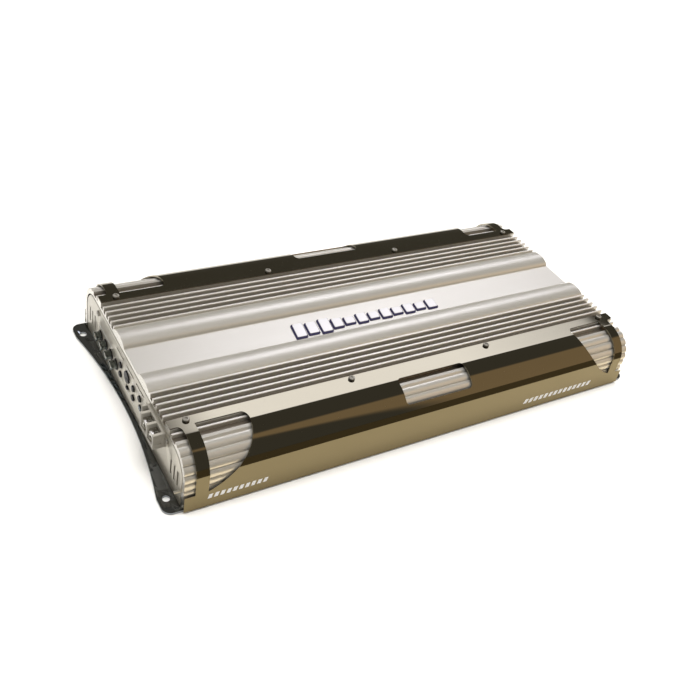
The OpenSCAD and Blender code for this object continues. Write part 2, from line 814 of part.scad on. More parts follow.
module insulator_strips() {
    color("lightgrey") both_sides() difference() {
        translate([-clamp_half_l, pad_y0 - 0.4, 15]) cube([2 * clamp_half_l, 0.4, 21]);
        for (x = clamp_screw_x) translate([x, pad_y0 + 1, 25]) rotate([90, 0, 0])
            cylinder(h = 3, r = 1.6);
    }
}

module clamp_bars() {
    color("silver") both_sides() difference() {
        translate([-clamp_half_l, pad_y0 - 7.8, 21]) cube([2 * clamp_half_l, 2.4, 8]);
        for (x = clamp_screw_x) translate([x, 111, 25]) rotate([90, 0, 0]) cylinder(h = 6, r = 1.5);
    }
}

module clamp_screws() {
    color("dimgray") for (x = clamp_screw_x) both_sides() translate([x, pad_y0 - 7.8, 25])
        rotate([90, 0, 0])
        socket_screw(1.15, 11, 2.6, 1.8, 1.1);
}

heatsink();
base_plate();
end_panel_left();
end_panel_right();
trim_front();
trim_rear();
trim_screws();
panel_screws();
base_screws();
emblem_backing();
emblem_bars();
knob_gain_front();
knob_gain_rear();
knob_level();
knob_highpass();
knob_lowpass();
knob_bass();
switch_slider();
pot_bodies();
switch_body();
control_board();
power_led();
led_bezel();
rca_housing();
rca_barrels();
rca_insulators();
rca_contacts();
power_block();
power_clamps();
power_screws();
bus_bars();
speaker_block();
speaker_clamps();
speaker_screws();
fuse_holder();
fuse_bodies();
fuse_blades();
main_board();
standoffs();
board_screws();
transformer_cores();
transformer_windings();
choke_cores();
choke_windings();
capacitors();
transistors_front();
transistors_rear();
insulator_strips();
clamp_bars();
clamp_screws();
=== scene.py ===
"""Looks for a car amplifier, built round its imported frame.

The frame gives every part its place. This script models the showing pieces with mesh operators,
dresses every piece in a procedural finish, and sets a plain studio with one camera.
"""

import logging
import math
from collections.abc import Callable, Iterable, Iterator
from contextlib import contextmanager
from dataclasses import dataclass, field
from enum import Enum

import bpy
from mathutils import Matrix, Vector


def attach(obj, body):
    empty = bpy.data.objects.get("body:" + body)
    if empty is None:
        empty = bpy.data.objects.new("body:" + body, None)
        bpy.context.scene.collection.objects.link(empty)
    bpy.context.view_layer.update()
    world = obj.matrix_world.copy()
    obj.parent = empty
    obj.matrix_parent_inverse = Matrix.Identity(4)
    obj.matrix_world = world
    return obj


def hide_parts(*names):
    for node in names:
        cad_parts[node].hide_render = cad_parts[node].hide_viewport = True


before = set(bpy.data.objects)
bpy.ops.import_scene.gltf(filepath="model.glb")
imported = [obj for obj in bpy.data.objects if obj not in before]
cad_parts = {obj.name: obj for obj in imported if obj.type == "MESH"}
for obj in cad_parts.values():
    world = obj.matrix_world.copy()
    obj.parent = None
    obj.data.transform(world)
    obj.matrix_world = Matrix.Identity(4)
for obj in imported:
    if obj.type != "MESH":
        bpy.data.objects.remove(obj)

LOG = logging.getLogger("amplifier")
MM = 0.001
CASE = "case"
Point = tuple[float, float]
Piece = bpy.types.Object
Tree = bpy.types.NodeTree
Node = bpy.types.Node
Socket = bpy.types.NodeSocket


class Side(Enum):
    """Which long side a cover is on, as the turn about Z that brings the front one there."""

    FRONT = 0.0
    REAR = math.pi


class Grain(Enum):
    """How a surface was worked, as the stretch of its pattern along X, Y and Z."""

    EXTRUDED = (0.02, 1.0, 1.0)
    ROLLED = (0.05, 1.0, 1.0)
    BLASTED = (1.0, 1.0, 1.0)


# ---------------------------------------------------------------- bench tools


def linear(code: str) -> tuple[float, float, float, float]:
    """Turns an sRGB hex colour into linear light.

    Args:
        code: colour such as "#c9c8c5".

    Returns:
        Red, green, blue and an alpha of 1.
    """
    parts = [int(code[i : i + 2], 16) / 255 for i in (1, 3, 5)]
    return (*(c / 12.92 if c <= 0.04045 else ((c + 0.055) / 1.055) ** 2.4 for c in parts), 1.0)


def add_node(
    tree: Tree,
    kind: str,
    values: dict[str | int, object] | None = None,
    links: dict[str | int, Socket] | None = None,
    **settings: object,
) -> Node:
    """Adds one node with its settings, socket values and links.

    Args:
        tree: node tree that takes the node.
        kind: Blender's name of the node type.
        values: socket name or number to its value.
        links: socket name or number to the output that feeds it.
        **settings: the node's own properties.

    Returns:
        The new node.
    """
    node = tree.nodes.new(kind)
    for key, value in settings.items():
        setattr(node, key, value)
    for socket, value in (values or {}).items():
        node.inputs[socket].default_value = value
    for socket, source in (links or {}).items():
        tree.links.new(source, node.inputs[socket])
    return node


def work_out(tree: Tree, operation: str, *terms: float | Socket) -> Socket:
    """Adds one maths node, whose terms are numbers or other nodes' outputs."""
    values = {i: term for i, term in enumerate(terms) if isinstance(term, float)}
    links = {i: term for i, term in enumerate(terms) if not isinstance(term, float)}
    return add_node(tree, "ShaderNodeMath", values, links, operation=operation).outputs[0]


def spread_over(tree: Tree, value: Socket, source: Point,
                target: Point = (0.0, 1.0), curve: str = "LINEAR") -> Socket:
    """Maps a value from the source range to the target range, and holds it at their ends."""
    (low, high), (first, last) = source, target
    return add_node(
        tree, "ShaderNodeMapRange", {"From Min": low, "From Max": high, "To Min": first, "To Max": last},
        {"Value": value}, interpolation_type=curve,
    ).outputs[0]


def deselect() -> None:
    """Leaves edit mode and deselects everything."""
    if bpy.context.object and bpy.context.object.mode != "OBJECT":
        bpy.ops.object.mode_set(mode="OBJECT")
    bpy.ops.object.select_all(action="DESELECT")


def pick(obj: Piece, others: Iterable[Piece] = ()) -> None:
    """Selects obj as the active object, with others beside it."""
    deselect()
    for one in (*others, obj):
        one.select_set(True)
    bpy.context.view_layer.objects.active = obj


@contextmanager
def editing(obj: Piece) -> Iterator[None]:
    """Opens obj in edit mode with all of it selected, and closes it again."""
    pick(obj)
    bpy.ops.object.mode_set(mode="EDIT")
    bpy.ops.mesh.select_mode(type="VERT")
    bpy.ops.mesh.select_all(action="SELECT")
    yield
    bpy.ops.object.mode_set(mode="OBJECT")


def settle(obj: Piece) -> None:
    """Puts obj's place into its mesh, so the object sits unturned at the origin."""
    pick(obj)
    bpy.ops.object.transform_apply(location=True, rotation=True, scale=True)


def trace(name: str, points: list[Vector], closed: bool = True) -> Piece:
    """Draws a line point by point, as by hand, from one vertex.

    Args:
        name: name of the new object.
        points: the line's points, in metres.
        closed: whether the line is closed and filled with one face.

    Returns:
        The new object.
    """
    deselect()
    bpy.ops.mesh.primitive_plane_add(size=MM, location=points[0])
    obj = bpy.context.object
    obj.name = obj.data.name = name
    with editing(obj):
        bpy.ops.mesh.merge(type="CENTER")
        for start, end in zip(points, points[1:]):
            bpy.ops.mesh.extrude_region_move(TRANSFORM_OT_translate={"value": end - start})
        if closed:
            bpy.ops.mesh.select_all(action="SELECT")
            bpy.ops.mesh.edge_face_add()
    settle(obj)
    return obj


def block(size: Iterable[float], place: Iterable[float], lean: float = 0.0) -> Piece:
    """Makes a box, in metres, leant about X by that many radians."""
    deselect()
    bpy.ops.mesh.primitive_cube_add(size=1, location=place, rotation=(lean, 0, 0))
    box = bpy.context.object
    box.scale = size
    settle(box)
    return box


def extrude(obj: Piece, step: Vector, count: int = 1) -> None:
    """Extrudes all of obj by step, count times."""
    with editing(obj):
        for _ in range(count):
            bpy.ops.mesh.extrude_region_move(TRANSFORM_OT_translate={"value": step})


def face_out(obj: Piece) -> None:
    """Turns the faces of a closed shape outwards."""
    with editing(obj):
        bpy.ops.mesh.normals_make_consistent(inside=False)


def apply_modifier(obj: Piece, kind: str, **settings: object) -> None:
    """Adds a modifier with its settings and applies it."""
    pick(obj)
    modifier = obj.modifiers.new(kind.title(), kind)
    for key, value in settings.items():
        setattr(modifier, key, value)
    bpy.ops.object.modifier_apply(modifier=modifier.name)


def bevel(obj: Piece, width: float, segments: int = 2, angle: float = 35.0) -> None:
    """Rounds the edges sharper than angle degrees by width millimetres."""
    apply_modifier(
        obj, "BEVEL", width=width * MM, segments=segments, limit_method="ANGLE",
        angle_limit=math.radians(angle), use_clamp_overlap=True, harden_normals=False,
    )


def smooth(obj: Piece, angle: float = 30.0) -> None:
    """Shades obj smooth across edges under angle degrees."""
    pick(obj)
    bpy.ops.object.shade_smooth_by_angle(angle=math.radians(angle))


def join(name: str, parts: list[Piece]) -> Piece:
    """Joins parts into one object."""
    pick(parts[0], parts[1:])
    if len(parts) > 1:
        bpy.ops.object.join()
    parts[0].name = parts[0].data.name = name
    return parts[0]


def copy_at(obj: Piece, shift: Vector) -> Piece:
    """Copies obj, with its own mesh, and moves the copy's mesh by shift."""
    pick(obj)
    bpy.ops.object.duplicate(linked=False)
    twin = bpy.context.object
    twin.location = shift
    settle(twin)
    return twin


def discard(obj: Piece) -> None:
    """Removes a helper object."""
    bpy.data.objects.remove(obj, do_unlink=True)


def boolean(obj: Piece, cutter: Piece, operation: str) -> None:
    """Joins or cuts obj with cutter, then removes the cutter."""
    apply_modifier(obj, "BOOLEAN", object=cutter, operation=operation, solver="EXACT")
    discard(cutter)


def arc(centre: Point, radius: float, start: float, end: float, steps: int) -> list[Point]:
    """Points of an arc between two angles in degrees, both ends included."""
    angles = (math.radians(start + (end - start) * i / steps) for i in range(steps + 1))
    return [(centre[0] + radius * math.cos(a), centre[1] + radius * math.sin(a)) for a in angles]


# ---------------------------------------------------------------- finishes


@dataclass(frozen=True)
class Finish:
    """A plain satin surface with fine mottling; the other finishes start from it.

    Attributes:
        name: the material's common name and how it was worked.
        colour: sRGB hex colour.
        metallic: 1 for bare or plated metal, else 0.
        roughness: middle roughness.
        spread: how far the roughness strays to each side.
        pattern: size of the mottling, in millimetres.
        relief: height of the fine bump, in millimetres.
        tone: share by which the colour strays.
        grain: how the surface was worked.
        coat: strength of a clear coat.
        gloss: specular level; 0.5 is the usual one, and metals keep it.
    """

    name: str
    colour: str
    metallic: float = 0.0
    roughness: float = 0.4
    spread: float = 0.06
    pattern: float = 0.8
    relief: float = 0.01
    tone: float = 0.05
    grain: Grain = Grain.BLASTED
    coat: float = 0.0
    gloss: float = 0.5

    def build(self) -> bpy.types.Material:
        """Makes the material, or returns it if it is already made.

        No finish may share a record slot's name, since the frame's own material would be returned.
        """
        if self.name in bpy.data.materials:
            return bpy.data.materials[self.name]
        material = bpy.data.materials.new(self.name)
        material.use_nodes = True
        tree = material.node_tree
        shader = tree.nodes["Principled BSDF"]
        shader.inputs["Base Color"].default_value = linear(self.colour)
        shader.inputs["Metallic"].default_value = self.metallic
        shader.inputs["Specular IOR Level"].default_value = self.gloss
        shader.inputs["Coat Weight"].default_value = self.coat
        shader.inputs["Coat Roughness"].default_value = 0.08
        place = add_node(tree, "ShaderNodeTexCoord").outputs["Object"]
        self.pattern_nodes(tree, shader, place)
        return material

    @staticmethod
    def noise(tree: Tree, place: Socket, size: float,
              stretch: tuple[float, float, float] = Grain.BLASTED.value,
              detail: float = 3.0) -> Socket:
        """Adds a noise of that size in millimetres, stretched along the axes.

        Args:
            tree: node tree.
            place: Object coordinates.
            size: size of one patch in millimetres.
            stretch: frequency along X, Y and Z; a small number draws the pattern out.
            detail: octaves.

        Returns:
            The noise's value, from 0 to 1.
        """
        mapping = add_node(tree, "ShaderNodeMapping", {"Scale": stretch}, {"Vector": place})
        return add_node(
            tree, "ShaderNodeTexNoise", {"Scale": 1 / (size * MM), "Detail": detail},
            {"Vector": mapping.outputs[0]},
        ).outputs["Fac"]

    def pattern_nodes(self, tree: Tree, shader: Node, place: Socket) -> None:
        """Links the fine mottling into colour, roughness and bump."""
        fine = self.noise(tree, place, self.pattern, self.grain.value)
        self.colour_from(tree, shader, fine, self.tone)
        self.roughness_from(tree, shader, fine)
        self.bump_from(tree, shader, fine, self.relief)

    def colour_from(self, tree: Tree, shader: Node,
                    value: Socket, tone: float, other: str | None = None) -> None:
        """Mixes the colour with a darker or other one by value, and links it to the shader."""
        base = linear(self.colour)
        dark = linear(other) if other else (*(c * (1 - 2 * tone) for c in base[:3]), 1.0)
        mix = add_node(tree, "ShaderNodeMix", {6: dark, 7: base}, {0: value}, data_type="RGBA")
        tree.links.new(mix.outputs[2], shader.inputs["Base Color"])

    def rough_range(self) -> Point:
        """The finish's least and greatest roughness."""
        return max(0.01, self.roughness - self.spread), self.roughness + self.spread

    def roughness_from(self, tree: Tree, shader: Node, value: Socket) -> None:
        """Spreads the roughness round its middle by value."""
        rough = spread_over(tree, value, (0.3, 0.7), self.rough_range())
        tree.links.new(rough, shader.inputs["Roughness"])

    @staticmethod
    def bump_from(tree: Tree, shader: Node, value: Socket, relief: float) -> None:
        """Links value to the shader as a bump of that height in millimetres."""
        node = add_node(tree, "ShaderNodeBump", {"Strength": 0.6, "Distance": relief * MM}, {"Height": value})
        tree.links.new(node.outputs[0], shader.inputs["Normal"])


@dataclass(frozen=True)
class SatinAnodised(Finish):
    """Extruded, blasted and anodised aluminium: soft gloss, long faint die lines, fine grit."""

    line: float = 1.4

    def pattern_nodes(self, tree: Tree, shader: Node, place: Socket) -> None:
        """Adds die lines along the extrusion and blasted grit over them."""
        lines = self.noise(tree, place, self.line, Grain.EXTRUDED.value, 2.0)
        grit = self.noise(tree, place, self.pattern)
        half = work_out(tree, "MULTIPLY", work_out(tree, "ADD", lines, grit), 0.5)
        self.colour_from(tree, shader, half, self.tone)
        self.roughness_from(tree, shader, half)
        self.bump_from(tree, shader, grit, self.relief)


@dataclass(frozen=True)
class MirrorPlate(Finish):
    """Polished and chrome-plated sheet: clear reflections, faint ripple, wiping haze and dust."""

    ripple: float = 28.0
    wipe: float = 22.0
    dust_gap: float = 6.0

    def pattern_nodes(self, tree: Tree, shader: Node, place: Socket) -> None:
        """Adds a long ripple in the sheet, hazy wiping marks and a few specks of dust."""
        haze = self.noise(tree, place, self.wipe, (0.35, 1.0, 1.0), 4.0)
        wave = self.noise(tree, place, self.ripple, (0.4, 1.0, 1.0), 1.0)
        cells = add_node(tree, "ShaderNodeTexVoronoi", {"Scale": 1 / (self.dust_gap * MM), "Randomness": 1.0},
                         {"Vector": place})
        speck = spread_over(tree, cells.outputs["Distance"], (0.03, 0.055), (1.0, 0.0))
        shine = spread_over(tree, haze, (0.35, 0.7), self.rough_range())
        tree.links.new(work_out(tree, "MULTIPLY_ADD", speck, 0.25, shine), shader.inputs["Roughness"])
        self.colour_from(tree, shader, haze, self.tone)
        self.bump_from(tree, shader, wave, self.relief)


@dataclass(frozen=True)
class TurnedSteel(Finish):
    """Turned steel: fine grit, with paler patches where a driver has rubbed."""

    def pattern_nodes(self, tree: Tree, shader: Node, place: Socket) -> None:
        """Adds wear patches over fine grit."""
        patches = self.noise(tree, place, 2.4, detail=5.0)
        grit = self.noise(tree, place, self.pattern)
        self.colour_from(tree, shader, patches, 0.22)
        self.roughness_from(tree, shader, patches)
        self.bump_from(tree, shader, grit, self.relief)


@dataclass(frozen=True)
class SolderMask(Finish):
    """Green lacquered circuit board: copper tracks show as paler lines under the lacquer."""

    track: float = 3.2

    def pattern_nodes(self, tree: Tree, shader: Node, place: Socket) -> None:
        """Adds a net of raised tracks."""
        cells = add_node(
            tree, "ShaderNodeTexVoronoi", {"Scale": 1 / (self.track * MM)}, {"Vector": place},
            feature="DISTANCE_TO_EDGE", distance="EUCLIDEAN",
        )
        net = spread_over(tree, cells.outputs[0], (0.04, 0.12))
        self.colour_from(tree, shader, net, 0.0, "#3f8f58")
        self.roughness_from(tree, shader, net)
        self.bump_from(tree, shader, net, 0.04)


@dataclass(frozen=True)
class WoundWire(Finish):
    """Enamelled copper wire: glossy varnish over a warm metal, each turn a little different."""

    def pattern_nodes(self, tree: Tree, shader: Node, place: Socket) -> None:
        """Varies the tone from turn to turn."""
        turns = self.noise(tree, place, 3.0, (1.0, 1.0, 0.1), 2.0)
        self.colour_from(tree, shader, turns, 0.18)
        self.roughness_from(tree, shader, turns)
        self.bump_from(tree, shader, turns, self.relief)


@dataclass(frozen=True)
class ClearLens(Finish):
    """Water-clear moulded lens of an indicator light, with a faint blue body."""

    def pattern_nodes(self, tree: Tree, shader: Node, place: Socket) -> None:
        """Lets light through and keeps a fine flow mark."""
        shader.inputs["Transmission Weight"].default_value = 0.6
        shader.inputs["IOR"].default_value = 1.49
        flow = self.noise(tree, place, 1.2)
        self.colour_from(tree, shader, flow, self.tone)
        self.roughness_from(tree, shader, flow)


# The blasted oxide layer scatters part of the light, so it is not wholly metallic.
ANODISED = SatinAnodised("satin_anodised_aluminium", "#e2dfd8", 0.72, 0.36, 0.05, 0.9, 0.006, 0.03)
# The groove floors are painted darker than the fins: painted shade for the light that reaches less far down
# between the fins.
GROOVE_PAINTED_SHADE = SatinAnodised("groove_painted_shade_aluminium", "#8a8277", 0.8, 0.42, 0.06, 0.9, 0.01, 0.06)
# The faces inside the extrusion are painted nearly black, as painted shade so the gaps round the end panels
# read dark.
INSIDE_PAINTED_SHADE = Finish("inside_painted_shade_aluminium", "#38342e", 0.6, 0.55, 0.08, 1.0, 0.02, 0.1)
CUT_END = Finish("sawn_aluminium", "#dddad3", 1.0, 0.3, 0.08, 0.5, 0.02, 0.06)
SMOKED = MirrorPlate("smoked_chrome_plate", "#807b6c", 1.0, 0.045, 0.02, 0.8, 0.02, 0.03)
# The cut faces of the covers are a paler bare metal, partly the sheared edge and partly a painted highlight
# in place of rounded edges that would catch the light.
SHEET_EDGE_AND_HIGHLIGHT = Finish("sheared_edge_and_painted_highlight", "#a49d8e", 1.0, 0.28, 0.06, 0.5, 0.02, 0.06)
BLACK_CHROME = MirrorPlate("black_chrome_plate", "#8d9195", 1.0, 0.09, 0.03, 0.8, 0.02, 0.06)
SATIN_PLATE = SatinAnodised("satin_nickel_plated_steel", "#c6c1b5", 0.6, 0.32, 0.05, 0.7, 0.01, 0.05)
SCREW_STEEL = TurnedSteel("zinc_flaked_screw_steel", "#b2aea5", 0.6, 0.34, 0.08, 0.4, 0.01)
ZINC = TurnedSteel("zinc_plated_steel", "#a9abac", 1.0, 0.34, 0.08, 0.6, 0.01)
NICKEL = TurnedSteel("nickel_plate", "#cfccc4", 1.0, 0.16, 0.05, 0.6, 0.005)
BRASS = TurnedSteel("turned_brass", "#c2a35a", 1.0, 0.28, 0.06, 0.5, 0.01)
DULLED_NICKEL = TurnedSteel("dulled_nickel_plate", "#9aa19f", 1.0, 0.3, 0.06, 0.6, 0.01)
GOLD = TurnedSteel("gold_flash_plate", "#dcae48", 1.0, 0.18, 0.05, 0.5, 0.005)
WHITE_ENAMEL = Finish("stoved_white_enamel", "#cdccd2", 0.0, 0.35, 0.04, 1.2, 0.01, 0.02, gloss=0.25)
NAVY_ENAMEL = Finish("stoved_navy_enamel", "#343149", 0.0, 0.6, 0.05, 1.2, 0.01, 0.08, gloss=0.1)
INK = Finish("screen_print_ink", "#e9ebee", 0.0, 0.5, 0.08, 0.5, 0.006, 0.05)
BLACK_ABS = Finish("moulded_black_abs", "#1b1b1d", 0.0, 0.42, 0.08, 0.7, 0.02, 0.1)
GREY_PBT = Finish("moulded_grey_pbt", "#a39f96", 0.0, 0.46, 0.08, 0.7, 0.02, 0.06)
WHITE_PTFE = Finish("white_ptfe", "#e8e6df", 0.0, 0.5, 0.08, 0.7, 0.01, 0.04)
GREEN_LENS = Finish("green_fuse_plastic", "#3a9a52", 0.0, 0.2, 0.05, 1.5, 0.005, 0.06, coat=0.6)
BOARD = SolderMask("green_solder_mask", "#1d5a33", 0.0, 0.3, 0.08)
COPPER = WoundWire("enamelled_copper_wire", "#b4683c", 1.0, 0.26, 0.06, 0.8, 0.01)
FERRITE = Finish("sintered_ferrite", "#3a3b3a", 0.0, 0.62, 0.1, 0.6, 0.03, 0.12)
SLEEVE = Finish("shrunk_pvc_sleeve", "#1c2336", 0.0, 0.25, 0.06, 2.0, 0.02, 0.1, coat=0.3)
LENS = ClearLens("moulded_clear_lens", "#cfe0f0", 0.0, 0.08, 0.02, 1.0, 0.002, 0.02)


def dress(obj: Piece, *finishes: Finish) -> None:
    """Gives obj these finishes as its material slots, in order."""
    obj.data.materials.clear()
    for finish in finishes:
        obj.data.materials.append(finish.build())


def paint_faces(obj: Piece, slot: int, test: Callable[[Vector, Vector], bool]) -> None:
    """Gives the faces that pass a test of centre and normal another material slot."""
    for face in obj.data.polygons:
        if test(face.center, face.normal):
            face.material_index = slot


def fit(obj: Piece, slot: str, *nodes: str, body: str = CASE) -> None:
    """Ties a finished piece to its body and hides the CAD nodes it stands for.

    Args:
        obj: the finished piece.
        slot: the record's material slot; not used.
        *nodes: CAD nodes that it stands for.
        body: the body that it moves with.
    """
    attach(obj, body)
    if nodes:
        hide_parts(*nodes)
    LOG.info("%s: %d faces on %s", obj.name, len(obj.data.polygons), body)


# ---------------------------------------------------------------- case


@dataclass
class Heatsink:
    """The extruded case: flat middle, two ridges, fins, shelf and fluted sides. Sizes in millimetres."""

    half_l: float = 244.0
    flat_z: float = 54.2
    ridge_y: float = 30.5
    ridge_half: float = 13.0
    ridge_top: float = 60.0
    ridge_end: float = 20.0
    fin_ys: tuple[float, ...] = (44.5, 51.5, 58.5, 65.5, 72.5)
    fin_top: float = 58.3
    fin_t: float = 2.4
    chamfer: float = 0.4
    groove_z: float = 53.3
    shelf: tuple[float, float, float] = (78.8, 88.5, 57.9)
    outer_fin: Point = (91.6, 56.6)
    ledge_z: float = 52.8
    lip: tuple[Point, Point] = ((99.4, 55.8), (102.2, 55.4))
    ridge_step: float = 1.9
    ridge_steps: int = 32
    side_centre: Point = (97.0, 30.0)
    side_r: float = 24.4
    flute_rise: float = 1.8
    flute_start: float = 16.0
    arc_flutes: int = 4
    wall_flutes: int = 3
    flute_pitch: float = 8.0
    flute_steps: int = 12
    inner_r: Point = (22.0, 20.6)
    foot_z: float = 2.0
    inner_end: float = 241.9
    rail_boxes: tuple[tuple[float, float, float, float], ...] = (
        (85.0, 46.7, 3.0, 9.0), (115.5, 6.75, 7.0, 9.5), (117.5, 25.0, 5.0, 22.0))

    def fin(self, y: float, top: float, foot_in: float, foot_out: float) -> list[Point]:
        """Points over one fin, from its inner foot to its outer foot."""
        h, c = self.fin_t / 2, self.chamfer
        return [(y - h, foot_in), (y - h, top - c), (y - h + c, top),
                (y + h - c, top), (y + h, top - c), (y + h, foot_out)]

    def rise(self, u: float) -> float:
        """Height of a flute at u flutes along the side."""
        return self.flute_rise * math.sqrt(max(0.0, 1 - (2 * (u - math.floor(u)) - 1) ** 2))

    def outside(self) -> list[Point]:
        """The outer line of one half, from the middle flat to the foot."""
        top = self.ridge_top - self.flat_z
        line = [(self.ridge_y + self.ridge_half * math.cos(a), self.flat_z + top * math.sin(a))
                for a in (math.radians(180 - i * (180 - self.ridge_end) / self.ridge_steps)
                          for i in range(self.ridge_steps + 1))]
        line += self.fin(self.fin_ys[0], self.fin_top, self.flat_z + self.ridge_step, self.groove_z)
        for y in self.fin_ys[1:]:
            line += self.fin(y, self.fin_top, self.groove_z, self.groove_z)
        y0, y1, z = self.shelf
        line += [(y0, self.groove_z), (y0, z), (y1, z), (y1, self.groove_z)]
        line += self.fin(*self.outer_fin, self.groove_z, self.ledge_z)
        line += [(self.lip[0][0], self.ledge_z), *self.lip]
        cy, cz = self.side_centre
        for i in range(self.arc_flutes * self.flute_steps + 1):
            u = i / self.flute_steps
            a = math.radians(self.flute_start + (90 - self.flute_start) * u / self.arc_flutes)
            r = self.side_r + self.rise(u)
            line.append((cy + r * math.sin(a), cz + r * math.cos(a)))
        for i in range(1, self.wall_flutes * self.flute_steps + 1):
            u = i / self.flute_steps
            line.append((cy + self.side_r + self.rise(u), cz - self.flute_pitch * u))
        line.append((cy + self.side_r, self.foot_z))
        return line

    def inside(self) -> list[Point]:
        """The inner line of one half, from the ceiling to the foot."""
        cy, cz = self.side_centre
        angles = (math.radians(7.5 * i / 2) for i in range(25))
        line = [(cy + self.inner_r[0] * math.sin(a), cz + self.inner_r[1] * math.cos(a)) for a in angles]
        return [*line, (cy + self.inner_r[0], self.foot_z)]

    def rails(self) -> Piece:
        """The inner screw bosses, base rails and transistor rails as one object."""
        parts = []
        for side in (-1, 1):
            for y, z, wide, high in self.rail_boxes:
                half = (self.inner_end if y < 100 else self.half_l - 6) * MM
                parts.append(block((2 * half, wide * MM, high * MM), (0, side * y * MM, z * MM)))
        rails = parts[0]
        for part in parts[1:]:
            boolean(rails, part, "UNION")
        return rails

    def build(self) -> None:
        """Extrudes the whole section, adds the inner rails and dresses it."""
        half, inner = self.outside(), self.inside()
        ring = [(-y, z) for y, z in reversed(half)] + half + list(reversed(inner))
        ring += [(-y, z) for y, z in inner]
        points = [Vector((-self.half_l, y, z)) * MM for y, z in ring]
        obj = trace("heatsink_extrusion", points)
        extrude(obj, Vector((2 * self.half_l * MM, 0, 0)))
        with editing(obj):
            bpy.ops.mesh.remove_doubles(threshold=0.01 * MM)
            bpy.ops.mesh.normals_make_consistent(inside=False)
        boolean(obj, self.rails(), "UNION")
        dress(obj, ANODISED, GROOVE_PAINTED_SHADE, CUT_END, INSIDE_PAINTED_SHADE)
        # The groove floors take the darker finish, painted shade between the fins.
        paint_faces(obj, 1, self.is_groove)
        paint_faces(obj, 2, lambda centre, normal: abs(normal.x) > 0.9)
        # The faces inside the extrusion take the painted shade.
        paint_faces(obj, 3, self.is_inside)
        smooth(obj, 28.0)
        fit(obj, "anodised", "heatsink")

    def is_groove(self, centre: Vector, normal: Vector) -> bool:
        """True for the groove floors between the fins, which get the painted shade."""
        y, z = abs(centre.y) / MM, centre.z / MM
        return self.fin_ys[0] < y < 99.6 and 52.0 < z < self.groove_z + 0.2 and normal.z > 0.5

    def is_inside(self, centre: Vector, normal: Vector) -> bool:
        """True for the faces inside the extrusion, which get the painted shade."""
        across = max(0.0, abs(centre.y) / MM - self.side_centre[0]) / (self.inner_r[0] + 0.6)
        up = max(0.0, centre.z / MM - self.side_centre[1]) / (self.inner_r[1] + 0.6)
        return math.hypot(across, up) < 1 and abs(normal.x) < 0.5


